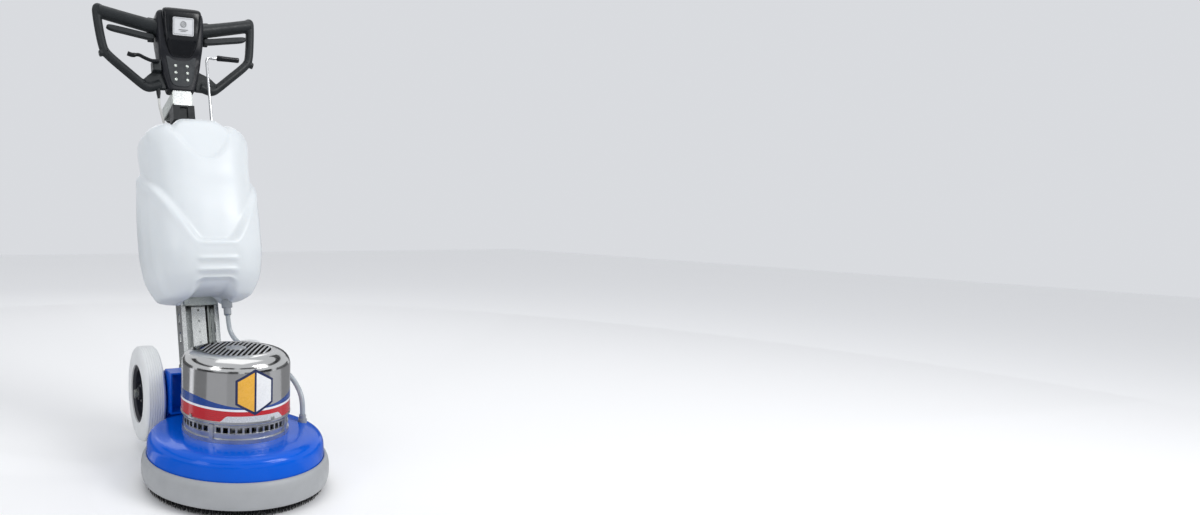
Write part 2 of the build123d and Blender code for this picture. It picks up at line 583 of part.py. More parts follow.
def make_levers():
    x, z = TILT_PIVOT
    lever = box(-158, -x, -38, -30, z - 5, z + 7)
    lever = fillet(lever.edges().filter_by(Axis.X), 3)
    lever += pin_y(10, -x, -38, -30, z) + pin_y(8, -158, -38, -30, z + 3)
    lever -= pin_y(3 + RUNNING, -x, -50, -20, z)
    save("tilt_lever", lever, HANDLE)
    lock = disc(7, 70, 500, x=33, y=LOCK_Y) + disc(3, 495, 884, x=14, y=0)
    lock += box(11, 40, -3, LOCK_Y + 6, 492, 500)
    lock += bar_x(3.5, -CHANNEL_X - 3.5, CHANNEL_X + 3.5, LOCK_Y, 76)
    save("lock_rod", lock, HANDLE)


def make_solution_parts():
    foot, elbow, end = ((ROD_X, ROD_Y, VALVE_SEAT + 12), (ROD_X, ROD_Y, ROD_TOP), (168, ROD_Y, ROD_TOP))
    path = FilletPolyline(foot, elbow, end, radius=12)
    rod = sweep(Plane(origin=path @ 0, z_dir=path % 0) * Circle(ROD_R), path)
    sleeve = bar_x(8.5, 104, 172, ROD_Y, ROD_TOP)
    plunger = disc(8, VALVE_SEAT + 8, VALVE_SEAT + 20, x=ROD_X, y=ROD_Y)
    save("solution_rod", rod + sleeve + plunger, HANDLE)
    fitting = ring(15, 9.5, VALVE_SEAT - 2, VALVE_SEAT + 17, x=ROD_X, y=ROD_Y)
    fitting += ring(10.5, 5, VALVE_SEAT - 22, VALVE_SEAT - 1, x=ROD_X, y=ROD_Y)
    fitting += ring(15, 4.8, VALVE_SEAT - 3, VALVE_SEAT + 4, x=ROD_X, y=ROD_Y)
    save("tank_outlet", fitting, HANDLE)


# ---- tank -------------------------------------------------------------------------------
# height, half width, front of the sides, front of the middle: the back is flat on the column
TANK_SECTIONS = [
    (241, 98, -118, -150), (256, 122, -135, -178), (300, 146, -150, -212), (380, 158, -160, -236),
    (466, 162, -160, -238), (560, 152, -150, -214), (600, 142, -146, -204), (660, 146, -142, -196),
    (700, 138, -132, -180), (728, 112, -118, -160), (744, 62, -100, -134),
]


def tank_section(height, half, side_front, front, inset):
    w = half - inset
    back, side, nose = TANK_BACK - inset, side_front + inset, front + inset
    r = 26.0 * half / 160
    outline = Polyline((w - r, back), (-w + r, back), (-w, back - r), (-w, side + r), (-w + r, side - r / 3),
                       (-w * 0.5, nose + 3), (w * 0.5, nose + 3), (w - r, side - r / 3), (w, side + r),
                       (w, back - r), close=True)
    return Pos(0, 0, height) * make_face(outline)


def make_tank():
    outer = loft([tank_section(*row, 0) for row in TANK_SECTIONS], ruled=True)
    inside = [tank_section(z, w, s, f, TANK_WALL) for z, w, s, f in TANK_SECTIONS[1:-1]]
    shell = outer - loft(inside, ruled=True)
    shell -= disc(15, 225, 245, x=ROD_X, y=ROD_Y)
    shell -= disc(15, 240, VALVE_SEAT + 40, x=ROD_X, y=ROD_Y)
    shell -= disc(ROD_R + 1, 600, 780, x=ROD_X, y=ROD_Y)
    shell -= disc(26, 700, 780, y=CAP_Y) + disc(CAP_R + 2.5, CAP_SEAT, 780, y=CAP_Y)
    save("tank_shell", shell, HANDLE)
    cap = disc(25.6, 715, CAP_SEAT + 1, y=CAP_Y) + disc(CAP_R, CAP_SEAT + 0.3, CAP_SEAT + 9, y=CAP_Y)
    cap += box(-20, 20, CAP_Y - 3, CAP_Y + 3, CAP_SEAT + 8, CAP_SEAT + 14)
    save("tank_cap", cap, HANDLE)


# ---- cable and hose ---------------------------------------------------------------------
def soft_tube(points, radius, close_end=False):
    """A tube along straight runs joined by arcs as large as the runs allow."""
    places = [Vector(*p) for p in points]
    radii = []
    for a, b, c in zip(places, places[1:], places[2:]):
        before, after = b - a, c - b
        turn = radians(before.get_angle(after))
        radii.append(0.45 * min(before.length, after.length) / tan(turn / 2))
    path = FilletPolyline(*points, radius=radii)
    section = Plane(origin=path @ 0, z_dir=path % 0) * Circle(radius)
    return sweep(section, path), radii, path.length


def make_cable_and_hose():
    gland = disc(6.5, 880, 908, x=GLAND_X) + Pos(GLAND_X, 0, 871) * Cone(3.6, 6.5, 18)
    save("cable_gland", gland, HANDLE)
    cable_points = [(-69, 0, 862), (-69, 0, 838), (-60, 8, 806), (-50, 20, 776), (-44, 34, 742),
                    (-41, 46, 704), (-40, 55, 664), (-40, 58, 627)]
    cable, radii, length = soft_tube(cable_points, 3.5)
    print("control cable: radii", [round(r) for r in radii], "length", round(length),
          "volume ratio", round(cable.volume / (pi * 3.5 ** 2 * length), 4))
    save("control_cable", cable, HANDLE)
    hose, radii, length = soft_tube(HOSE_POINTS, HOSE_R)
    print("hose: radii", [round(r) for r in radii], "length", round(length),
          "volume ratio", round(hose.volume / (pi * HOSE_R ** 2 * length), 4))
    save("solution_hose", hose)


HOSE_R = 6.5
# from the tank's outlet down beside the column and round the motor to the deck, in machine axes
HOSE_POINTS = [
    (69, 260.54, 364.60), (69, 255.041, 345.410), (72, 247, 316), (85, 226, 292), (106, 196, 278),
    (130, 160, 266), (148, 118, 255), (160, 76, 243), (169, 38, 226), (175, 8, 200), (176, -4, 172),
    (176, -4, 146),
]

make_deck()
make_rear_frame()
make_louvred_ring()
make_motor_cover()
make_motor()
make_gearbox()
make_bearings()
make_wheels()
make_brush()
make_column()
make_control_box()
make_rest_bracket()
make_head()
make_handlebars()
make_levers()
make_solution_parts()
make_tank()
make_cable_and_hose()
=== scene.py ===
"""Looks of the single-disc floor scrubber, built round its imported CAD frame."""
import json
import math
import random

import bpy
import bmesh
from mathutils import Matrix, Vector


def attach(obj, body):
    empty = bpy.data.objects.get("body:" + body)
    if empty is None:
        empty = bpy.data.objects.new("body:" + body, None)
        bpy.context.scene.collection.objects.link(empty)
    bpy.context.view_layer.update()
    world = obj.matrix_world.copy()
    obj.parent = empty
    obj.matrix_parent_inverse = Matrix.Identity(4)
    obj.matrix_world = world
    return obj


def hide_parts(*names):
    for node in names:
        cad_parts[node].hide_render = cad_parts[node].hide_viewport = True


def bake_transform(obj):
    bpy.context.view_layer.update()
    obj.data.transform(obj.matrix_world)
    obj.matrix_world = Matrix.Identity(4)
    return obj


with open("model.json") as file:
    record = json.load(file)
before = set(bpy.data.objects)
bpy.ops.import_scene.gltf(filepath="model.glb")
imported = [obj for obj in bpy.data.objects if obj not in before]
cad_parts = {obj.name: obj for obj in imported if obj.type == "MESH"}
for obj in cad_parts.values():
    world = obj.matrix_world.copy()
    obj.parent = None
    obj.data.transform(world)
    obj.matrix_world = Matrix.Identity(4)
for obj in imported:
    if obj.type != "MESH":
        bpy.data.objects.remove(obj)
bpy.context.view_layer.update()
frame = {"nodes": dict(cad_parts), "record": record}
random.seed(11)
node_slot = {row["node"]: row["material_slot"] for row in frame["record"]["subparts"]}

# driving sizes, the same as the CAD's, in millimetres and degrees
PIVOT_Y, PIVOT_Z = 262, 152
COVER_R = 130.3
VENT_TURN, VENT_PITCH = 57, 11.5
WHEEL_X, WHEEL_Y, WHEEL_Z = 152, 294, 154
ROD_X, ROD_T = 69, -60
CAP_T = -69
LEAN = math.radians(16)
SIN, COS = math.sin(LEAN), math.cos(LEAN)
# how far the frame's origin lies behind the brush axis
FRAME_Y = 208
# points round a turned shape
TURNED_STEPS = 192


def base(x, y, z):
    """A point given in millimetres about the brush axis."""
    return Vector((x, y - FRAME_Y, z)) / 1000


def handle(x, t, s):
    """A point given in millimetres across, behind and along the leaning column."""
    return base(x, PIVOT_Y + t * COS + s * SIN, PIVOT_Z - t * SIN + s * COS)


# ---- camera -----------------------------------------------------------------------------
def make_camera():
    """The camera that the main view was fitted with."""
    camera = bpy.data.objects.new("camera", bpy.data.cameras.new("camera"))
    bpy.context.collection.objects.link(camera)
    yaw, pitch, roll = (math.radians(a) for a in (19.81, 3.64, 0.46))
    ahead = Vector((math.sin(yaw) * math.cos(pitch), math.cos(yaw) * math.cos(pitch), -math.sin(pitch)))
    level = Vector((math.cos(yaw), -math.sin(yaw), 0))
    up = level.cross(ahead)
    right = level * math.cos(roll) + up * math.sin(roll)
    up = right.cross(ahead)
    turn = Matrix((right, up, -ahead)).transposed()
    camera.matrix_world = Matrix.Translation((-0.5608, -1.7650, 0.6449)) @ turn.to_4x4()
    camera.data.lens = 21.0
    camera.data.sensor_width = 36.0
    camera.data.shift_x = 0.3028
    camera.data.clip_start = 0.05
    bpy.context.scene.camera = camera


# ---- mesh helpers -----------------------------------------------------------------------
def piece(name, points, faces, body, slot, material, smooth=True, sharp=None):
    """A new mesh object with its material; with a body it rides that body. The slot argument is not used."""
    mesh = bpy.data.meshes.new(name)
    mesh.from_pydata([tuple(p) for p in points], [], faces)
    work = bmesh.new()
    work.from_mesh(mesh)
    bmesh.ops.remove_doubles(work, verts=work.verts, dist=1e-7)
    bmesh.ops.recalc_face_normals(work, faces=work.faces)
    work.to_mesh(mesh)
    work.free()
    obj = bpy.data.objects.new(name, mesh)
    bpy.context.collection.objects.link(obj)
    mesh.materials.append(material)
    for polygon in mesh.polygons:
        polygon.use_smooth = smooth
    if sharp:
        mesh.set_sharp_from_angle(angle=math.radians(sharp))
    if body:
        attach(obj, body)
    return obj


def spline(rows, steps):
    """Catmull-Rom values between rows of numbers, passing through every row."""
    out = []
    for i in range(len(rows) - 1):
        a, b, c, d = rows[max(i - 1, 0)], rows[i], rows[i + 1], rows[min(i + 2, len(rows) - 1)]
        for k in range(steps):
            u = k / steps
            out.append(tuple(
                0.5 * (2 * q + (r - p) * u + (2 * p - 5 * q + 4 * r - s) * u ** 2
                       + (3 * q - p - 3 * r + s) * u ** 3)
                for p, q, r, s in zip(a, b, c, d)))
    out.append(tuple(rows[-1]))
    return out


def rounded(outline, rounds):
    """A closed outline with its corners cut again and again, which rounds them."""
    keep = 0.22
    for _ in range(rounds):
        cut = []
        for a, b in zip(outline, outline[1:] + outline[:1]):
            cut.append(tuple(p + (q - p) * keep for p, q in zip(a, b)))
            cut.append(tuple(p + (q - p) * (1 - keep) for p, q in zip(a, b)))
        outline = cut
        keep = 0.25
    return outline


def open_rounded(outline, rounds):
    """The same for an open line, whose ends stay."""
    for _ in range(rounds):
        cut = [outline[0]]
        for a, b in zip(outline, outline[1:]):
            cut.append(tuple(p + (q - p) * 0.25 for p, q in zip(a, b)))
            cut.append(tuple(p + (q - p) * 0.75 for p, q in zip(a, b)))
        outline = cut + [outline[-1]]
    return outline


def resampled(line, count):
    """A line's points spaced evenly along it."""
    lengths = [0.0]
    for a, b in zip(line, line[1:]):
        lengths.append(lengths[-1] + math.dist(a, b))
    out, i = [], 0
    for k in range(count):
        want = lengths[-1] * k / (count - 1)
        while i < len(line) - 2 and lengths[i + 1] < want:
            i += 1
        span = (lengths[i + 1] - lengths[i]) or 1.0
        u = min(max((want - lengths[i]) / span, 0), 1)
        out.append(tuple(p + (q - p) * u for p, q in zip(line[i], line[i + 1])))
    return out


def lathe(profile, segments, place, close=False):
    """Points and faces of a profile of (radius, height) turned about an axis; place maps (x, y, z)."""
    points, faces = [], []
    for r, z in profile:
        for k in range(segments):
            a = 2 * math.pi * k / segments
            points.append(place(r * math.cos(a), r * math.sin(a), z))
    rows = len(profile)
    for i in range(rows if close else rows - 1):
        j = (i + 1) % rows
        for k in range(segments):
            n = (k + 1) % segments
            faces.append((i * segments + k, i * segments + n, j * segments + n, j * segments + k))
    return points, faces


def skin(rings):
    """Points and faces of a stack of closed rings of equal length, with both ends closed."""
    count = len(rings[0])
    points = [p for ring in rings for p in ring]
    faces = []
    for i in range(len(rings) - 1):
        for k in range(count):
            n = (k + 1) % count
            faces.append((i * count + k, i * count + n, (i + 1) * count + n, (i + 1) * count + k))
    faces.append(tuple(range(count)))
    faces.append(tuple(range((len(rings) - 1) * count, len(rings) * count)))
    return points, faces


def tube(path, radius, sides=20, squash=1.0, wide=Vector((0, 1, 0))):
    """A round or oval tube along points; radius is one number or one for each point."""
    rings = []
    for i, p in enumerate(path):
        ahead = (path[min(i + 1, len(path) - 1)] - path[max(i - 1, 0)]).normalized()
        across = (wide - ahead * wide.dot(ahead)).normalized()
        other = ahead.cross(across)
        r = radius[i] if isinstance(radius, (list, tuple)) else radius
        rings.append([p + across * math.cos(2 * math.pi * k / sides) * r
                      + other * math.sin(2 * math.pi * k / sides) * r * squash for k in range(sides)])
    return skin(rings)


def slab(outline, low, high, place):
    """A flat shape of (a, b) points between two depths; place maps (a, b, depth)."""
    return skin([[place(a, b, low) for a, b in outline], [place(a, b, high) for a, b in outline]])


def bevelled(obj, width):
    """Rounds an object's sharp edges."""
    modifier = obj.modifiers.new("bevel", "BEVEL")
    modifier.width = width
    modifier.segments = 3
    modifier.limit_method = "ANGLE"
    modifier.angle_limit = math.radians(35)
    modifier.harden_normals = True


def applied(obj):
    """Turns an object's modifiers into its mesh."""
    depsgraph = bpy.context.evaluated_depsgraph_get()
    mesh = bpy.data.meshes.new_from_object(obj.evaluated_get(depsgraph))
    obj.modifiers.clear()
    obj.data = mesh


def joined(parts):
    """Points and faces of several shapes as one."""
    points, faces = [], []
    for some, others in parts:
        start = len(points)
        points += some
        faces += [tuple(i + start for i in face) for face in others]
    return points, faces


def softened(obj, rounds):
    """Adds a smoothing modifier."""
    soften = obj.modifiers.new("soften", "SMOOTH")
    soften.factor = 0.5
    soften.iterations = rounds


def moulded(obj, voxel, rounds):
    """Melts overlapping shapes into one moulding with soft inner corners."""
    remesh = obj.modifiers.new("remesh", "REMESH")
    remesh.mode = "VOXEL"
    remesh.voxel_size = voxel
    softened(obj, rounds)
    applied(obj)
    for polygon in obj.data.polygons:
        polygon.use_smooth = True


def smoothstep(value, low, high):
    """0 below low, 1 above high, and a smooth rise between them."""
    u = min(max((value - low) / (high - low), 0.0), 1.0)
    return u * u * (3 - 2 * u)


# ---- materials --------------------------------------------------------------------------
def shader(name, rough, metallic=0.0, **sockets):
    """A new material with its node lists and its Principled node."""
    material = bpy.data.materials.new(name)
    material.use_nodes = True
    nodes, links = material.node_tree.nodes, material.node_tree.links
    bsdf = nodes["Principled BSDF"]
    bsdf.inputs["Roughness"].default_value = rough
    bsdf.inputs["Metallic"].default_value = metallic
    for key, value in sockets.items():
        bsdf.inputs[key.replace("_", " ")].default_value = value
    return material, nodes, links, bsdf


def noise(nodes, links, scale, detail, stretch, turn):
    """A noise texture in the object's own space, stretched and turned."""
    where = nodes.new("ShaderNodeTexCoord")
    place = nodes.new("ShaderNodeMapping")
    place.inputs["Scale"].default_value = stretch
    place.inputs["Rotation"].default_value = turn
    texture = nodes.new("ShaderNodeTexNoise")
    texture.inputs["Scale"].default_value = scale
    texture.inputs["Detail"].default_value = detail
    links.new(where.outputs["Object"], place.inputs["Vector"])
    links.new(place.outputs["Vector"], texture.inputs["Vector"])
    return texture


def ramp(nodes, links, source, low, high, a, b):
    """Maps a texture between two colours, or two grey values."""
    out = nodes.new("ShaderNodeValToRGB")
    out.color_ramp.elements[0].position = low
    out.color_ramp.elements[1].position = high
    for element, value in zip(out.color_ramp.elements, (a, b)):
        element.color = (value, value, value, 1) if isinstance(value, float) else (*value, 1)
    links.new(source, out.inputs["Fac"])
    return out.outputs["Color"]


def finish_material(name, colour, rough, metallic=0.0, vary=0.06, scale=40.0, grain=600.0, bump=0.02,
                    depth=0.0004, rough_vary=0.06, stretch=(1, 1, 1), turn=(0, 0, 0), **sockets):
    """A surface with soft colour and gloss variation and a fine grain."""
    material, nodes, links, bsdf = shader(name, rough, metallic, **sockets)
    cloud = noise(nodes, links, scale, 5.0, stretch, turn)
    dark = tuple(c * (1 - vary) for c in colour)
    light = tuple(min(c * (1 + vary), 1) for c in colour)
    links.new(ramp(nodes, links, cloud.outputs["Fac"], 0.3, 0.7, dark, light), bsdf.inputs["Base Color"])
    gloss = noise(nodes, links, scale * 2.7, 6.0, stretch, turn)
    low, high = max(rough - rough_vary, 0.02), min(rough + rough_vary, 1.0)
    links.new(ramp(nodes, links, gloss.outputs["Fac"], 0.3, 0.7, low, high), bsdf.inputs["Roughness"])
    fine = noise(nodes, links, grain, 3.0, stretch, turn)
    bumps = nodes.new("ShaderNodeBump")
    bumps.inputs["Strength"].default_value = bump
    bumps.inputs["Distance"].default_value = depth
    links.new(fine.outputs["Fac"], bumps.inputs["Height"])
    links.new(bumps.outputs["Normal"], bsdf.inputs["Normal"])
    return material


def brushed_material(name, colour, rough, turn=(0, 0, 0), stretch=(1, 1, 0.02)):
    """Metal with fine lines along one direction."""
    return finish_material(name, colour, rough, 1.0, vary=0.08, scale=260.0, grain=1500.0, bump=0.12,
                           depth=0.0002, rough_vary=0.09, stretch=stretch, turn=turn)


MATERIALS = {
    "deck_paint": finish_material("deck_paint", (0.0, 0.098, 0.62), 0.2, vary=0.05, scale=9.0, grain=90.0,
                                  bump=0.10, depth=0.0006, rough_vary=0.05, Coat_Weight=0.3,
                                  Coat_Roughness=0.04, Specular_IOR_Level=0.15),
    "bumper_rubber": finish_material("bumper_rubber", (0.36, 0.37, 0.38), 0.46, vary=0.05, scale=22.0,
                                     grain=420.0, bump=0.10, depth=0.0004, rough_vary=0.10),
    "cover_chrome": finish_material("cover_chrome", (0.66, 0.66, 0.65), 0.13, 1.0, vary=0.03, scale=18.0,
                                    grain=70.0, bump=0.05, depth=0.0008, rough_vary=0.05),
    "cast_aluminium": finish_material("cast_aluminium", (0.62, 0.63, 0.64), 0.34, 1.0, vary=0.06,
                                      scale=60.0, grain=700.0, bump=0.12, depth=0.0003),
    "channel_metal": brushed_material("channel_metal", (0.66, 0.68, 0.67), 0.26, turn=(LEAN, 0, 0)),
    "zinc_steel": finish_material("zinc_steel", (0.50, 0.53, 0.50), 0.32, 1.0, vary=0.16, scale=35.0,
                                  grain=300.0, bump=0.10, depth=0.0003, rough_vary=0.10),
    "machine_steel": brushed_material("machine_steel", (0.55, 0.56, 0.58), 0.28, stretch=(1, 1, 0.2)),
    "laminations": finish_material("laminations", (0.16, 0.15, 0.15), 0.5, 0.9, vary=0.2, scale=90.0,
                                   stretch=(0.1, 0.1, 12), bump=0.3),
    "rod_chrome": finish_material("rod_chrome", (0.72, 0.73, 0.74), 0.16, 1.0, vary=0.05, scale=50.0,
                                  bump=0.03),
    "black_plastic": finish_material("black_plastic", (0.012, 0.014, 0.016), 0.40, vary=0.14, scale=24.0,
                                     grain=1100.0, bump=0.18, depth=0.0003, rough_vary=0.09,
                                     Specular_IOR_Level=0.3),
    "hub_plastic": finish_material("hub_plastic", (0.016, 0.018, 0.026), 0.34, vary=0.15, scale=30.0,
                                   grain=900.0, bump=0.12, depth=0.0003),
    "brush_black": finish_material("brush_black", (0.009, 0.009, 0.011), 0.42, vary=0.25, scale=60.0,
                                   grain=900.0, bump=0.10, Specular_IOR_Level=0.6),
    "bristle_white": finish_material("bristle_white", (0.80, 0.82, 0.84), 0.42, vary=0.07, scale=80.0,
                                     grain=1400.0, bump=0.2, stretch=(1, 1, 0.15)),
    "red_plastic": finish_material("red_plastic", (0.70, 0.006, 0.014), 0.20, vary=0.08, scale=25.0,
                                   grain=300.0, bump=0.05, Coat_Weight=0.5, Coat_Roughness=0.08),
    "tank_poly": finish_material("tank_poly", (0.70, 0.735, 0.755), 0.36, vary=0.018, scale=7.0,
                                 grain=260.0, bump=0.07, depth=0.0005, rough_vary=0.06,
                                 Subsurface_Weight=0.12, Subsurface_Radius=(0.010, 0.012, 0.014),
                                 Subsurface_Scale=1.0, Coat_Weight=0.12, Coat_Roughness=0.3),
    "cap_plastic": finish_material("cap_plastic", (0.03, 0.03, 0.033), 0.32, vary=0.12, scale=40.0,
                                   grain=900.0, bump=0.12),
    "grey_plastic": finish_material("grey_plastic", (0.36, 0.38, 0.40), 0.40, vary=0.05, scale=26.0,
                                    grain=900.0, bump=0.22, depth=0.0003),
    "label": finish_material("label", (0.60, 0.61, 0.63), 0.42, 0.35, vary=0.04, scale=120.0, bump=0.04),
    "tyre_rubber": finish_material("tyre_rubber", (0.74, 0.755, 0.76), 0.58, vary=0.04, scale=17.0,
                                   grain=500.0, bump=0.22, depth=0.0005, rough_vary=0.10),
    "foot_rubber": finish_material("foot_rubber", (0.012, 0.012, 0.012), 0.6, vary=0.2, scale=30.0,
                                   bump=0.15),
    "hose_vinyl": finish_material("hose_vinyl", (0.60, 0.65, 0.68), 0.16, vary=0.05, scale=40.0,
                                  grain=120.0, bump=0.05, Transmission_Weight=0.45, IOR=1.45,
                                  Coat_Weight=0.4),
    "cable_jacket": finish_material("cable_jacket", (0.58, 0.58, 0.56), 0.44, vary=0.06, scale=40.0,
                                    grain=700.0, bump=0.12),
}
CHARCOAL = finish_material("charcoal_grain", (0.034, 0.038, 0.042), 0.48, vary=0.12, scale=30.0,
                           grain=1500.0, bump=0.55, depth=0.0004, rough_vary=0.10, Specular_IOR_Level=0.3)
HEAD_BLACK = finish_material("head_black", (0.011, 0.012, 0.016), 0.38, vary=0.12, scale=26.0, grain=1200.0,
                             bump=0.25, depth=0.0003, rough_vary=0.08, Specular_IOR_Level=0.3)
GLOSS_BLACK = finish_material("gloss_black", (0.005, 0.006, 0.008), 0.22, vary=0.15, scale=25.0,
                              grain=400.0, bump=0.05, rough_vary=0.04, Specular_IOR_Level=0.35)
GRIP = finish_material("grip_rubber", (0.018, 0.021, 0.023), 0.42, vary=0.14, scale=28.0, grain=1300.0,
                       bump=0.4, depth=0.0004, rough_vary=0.10, Specular_IOR_Level=0.3)
BAND_BLUE = finish_material("band_blue", (0.004, 0.05, 0.26), 0.24, vary=0.10, scale=120.0, Coat_Weight=0.6)
BAND_WHITE = finish_material("band_white", (0.80, 0.81, 0.82), 0.28, vary=0.03, scale=60.0, Coat_Weight=0.4)
BADGE_NAVY = finish_material("badge_navy", (0.010, 0.020, 0.085), 0.24, vary=0.08, scale=60.0,
                             Coat_Weight=0.5)
BADGE_YELLOW = finish_material("badge_yellow", (0.80, 0.42, 0.045), 0.28, vary=0.05, scale=60.0,
                               Coat_Weight=0.4)
PALE_PLATE = finish_material("pale_plate", (0.66, 0.68, 0.70), 0.26, 0.25, vary=0.03, scale=80.0,
                             Coat_Weight=0.4)
# painted shade: near-black for the vent's ribs and the disc under its opening, standing in for the shadow
# inside the cover
PAINTED_SHADE_INSIDE = finish_material("painted_shade_inside", (0.018, 0.015, 0.013), 0.7, vary=0.3, scale=80.0)
INK = finish_material("label_ink", (0.07, 0.075, 0.08), 0.4, vary=0.2, scale=300.0)


def woven_red():
    """The red band's small dark check."""
    material, nodes, links, bsdf = shader("band_red", 0.26, Coat_Weight=0.6)
    where = nodes.new("ShaderNodeTexCoord")
    check = nodes.new("ShaderNodeTexChecker")
    check.inputs["Scale"].default_value = 420.0
    check.inputs["Color1"].default_value = (0.62, 0.008, 0.018, 1)
    check.inputs["Color2"].default_value = (0.40, 0.005, 0.014, 1)
    links.new(where.outputs["Object"], check.inputs["Vector"])
    links.new(check.outputs["Color"], bsdf.inputs["Base Color"])
    return material


BAND_RED = woven_red()


# ---- hose -------------------------------------------------------------------------------
HOSE_R = 0.0065
HOSE_ROUTE = [
    (0.069, 0.05254, 0.36460), (0.069, 0.04704, 0.34541), (0.072, 0.039, 0.316), (0.085, 0.018, 0.292),
    (0.106, -0.012, 0.278), (0.130, -0.048, 0.266), (0.148, -0.090, 0.255), (0.160, -0.132, 0.243),
    (0.169, -0.170, 0.226), (0.175, -0.200, 0.200), (0.176, -0.212, 0.172), (0.176, -0.212, 0.146),
]


def route_line(name, route):
    """Points read from the NURBS line that has the route's points as its control points."""
    curve = bpy.data.curves.new(name, "CURVE")
    curve.dimensions = "3D"
    curve.resolution_u = 10
    run = curve.splines.new("NURBS")
    run.points.add(len(route) - 1)
    for point, place in zip(run.points, route):
        point.co = (*place, 1)
    run.order_u = 3
    run.use_endpoint_u = True
    holder = bpy.data.objects.new(name, curve)
    bpy.context.collection.objects.link(holder)
    mesh = bpy.data.meshes.new_from_object(holder)
    line = [Vector(v.co) for v in mesh.vertices]
    bpy.data.objects.remove(holder)
    return line


def line_length(line):
    """Length along a line of points."""
    return sum((b - a).length for a, b in zip(line, line[1:]))


def make_hose():
    """The clear hose from the tank's outlet down to the deck, and its collar."""
    line = route_line("hose_line", HOSE_ROUTE)
    around = tube(line, HOSE_R, 24, wide=Vector((1, 0.2, 0)))
    hose = piece("hose", *around, None, None, MATERIALS["hose_vinyl"])
    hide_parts("solution_hose")
    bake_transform(hose)
    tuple(HOSE_ROUTE[0])
    line_length(line)
    [tuple(p) for p in line]
    # a collar where it meets the tank's outlet
    top = [handle(ROD_X, ROD_T, s) for s in (201, 204, 212, 222, 226)]
    collar = tube(top, [0.0085, 0.0098, 0.0100, 0.0098, 0.0090], 28, wide=Vector((1, 0, 0)))
    piece("hose_collar", *collar, "column", "grey_plastic", MATERIALS["zinc_steel"])


# ---- tank -------------------------------------------------------------------------------
# height, half width, front of the sides and front of the middle, from the bottom up
TANK_ROWS = [
    (236.5, 20, -84, -92), (237.5, 66, -104, -118), (241, 92, -118, -140), (248, 106, -126, -156),
    (262, 115, -133, -172), (282, 126, -138, -189), (304, 135, -142, -202), (340, 142, -145, -214),
    (380, 146, -146, -219), (466, 147, -146, -220), (520, 145, -144, -214), (560, 143, -142, -207),
    (600, 142, -142, -203), (640, 145, -141, -198), (672, 147, -138, -191), (698, 143, -131, -179),
    (716, 133, -123, -166), (730, 112, -112, -150), (739, 82, -102, -133), (743.5, 48, -94, -118),
    (745, 14, -88, -100),
]
TANK_BACK = -31.0
TANK_MIDDLE = -95
POCKET_R, POCKET_FLOOR = 33.5, 732.3
RIB_HEIGHTS = (329, 301, 273)
RIB_WIDTH = 5.0


def jaw_line(x, t):
    """Height of the crease between the chest and the proud lower jaw."""
    side = max(abs(x) - 35, 0.0)
    return 378 + 2.0 * (math.sqrt(side ** 2 + 20 ** 2) - 20) + 36 * smoothstep(t, -140, -55)


def collar_line(x):
    """Height of the U-shaped crease under the dome."""
    return 603 + 97 * (abs(x) / 88) ** 2.0


def tank_relief(x, t, s, outward):
    """How far the surface stands out of, and is lifted above, the plain body."""
    front = smoothstep(-t, 34, 42)
    slope = 2.0 * smoothstep(abs(x), 33, 55)
    below = (jaw_line(x, t) - s) / math.hypot(1, slope)
    jaw = smoothstep(below, -3, 7) * front
    out = (14.5 - 4.0 * smoothstep(abs(x), 120, 150) * smoothstep(-t, 90, 130)) * jaw
    # the jaw's upper edge stands a little proud of its own face
    out += 2.2 * math.exp(-((below - 10) / 7) ** 2) * front * smoothstep(-t, 60, 110)
    # the chest is let in under the U-shaped crease
    facing = smoothstep(-outward.y, 0.2, 0.5)
    gap = (s - collar_line(x)) / math.hypot(1, 1.3 * abs(x) / 60)
    if abs(x) < 92:
        out -= 8.0 * smoothstep(gap, -1, 7) * (1 - smoothstep(s, 668, 728)) * facing
    # three ribs across the jaw, each with a shallow groove under it
    middle = (1 - smoothstep(abs(x), 46, 56)) * facing
    for height in RIB_HEIGHTS:
        out += 4.8 * math.exp(-((s - height) / RIB_WIDTH) ** 2) * middle
        out -= 1.6 * math.exp(-((s - height + 13) / RIB_WIDTH) ** 2) * middle
    # the underside rises in the middle, and the dome stands above the shoulders
    low = smoothstep(304 - s, 0, 62)
    lift = 22.0 * low * (1 - smoothstep(abs(x), 34, 62))
    dome = (1 - smoothstep(abs(x), 44, 66)) * smoothstep(-t, 96, 116)
    lift += 6.0 * smoothstep(s, 690, 728) * dome
    # a crease on each side of the dome, where it meets the shoulders
    crease = math.exp(-((abs(x) - (84 - 0.25 * max(s - 690, 0))) / 9) ** 2)
    lift -= 9.0 * crease * smoothstep(s, 680, 712)
    return out, lift


def tank_outline(half, side, nose):
    """Right half of the tank's outline at one height, from the back round to the front."""
    depth = TANK_BACK - side
    crown = side - nose
    wide = half + 9.0 * smoothstep(half, 60, 125)
    return open_rounded([
        (0, TANK_BACK), (wide * 0.93, TANK_BACK), (wide, TANK_BACK - min(depth * 0.1, 9)),
        (half + (wide - half) * 0.3, side + depth * 0.25), (half * 0.985, side),
        (half * 0.80, side - crown * 0.58), (half * 0.56, nose + crown * 0.08), (half * 0.3, nose),
        (0, nose)], 4)


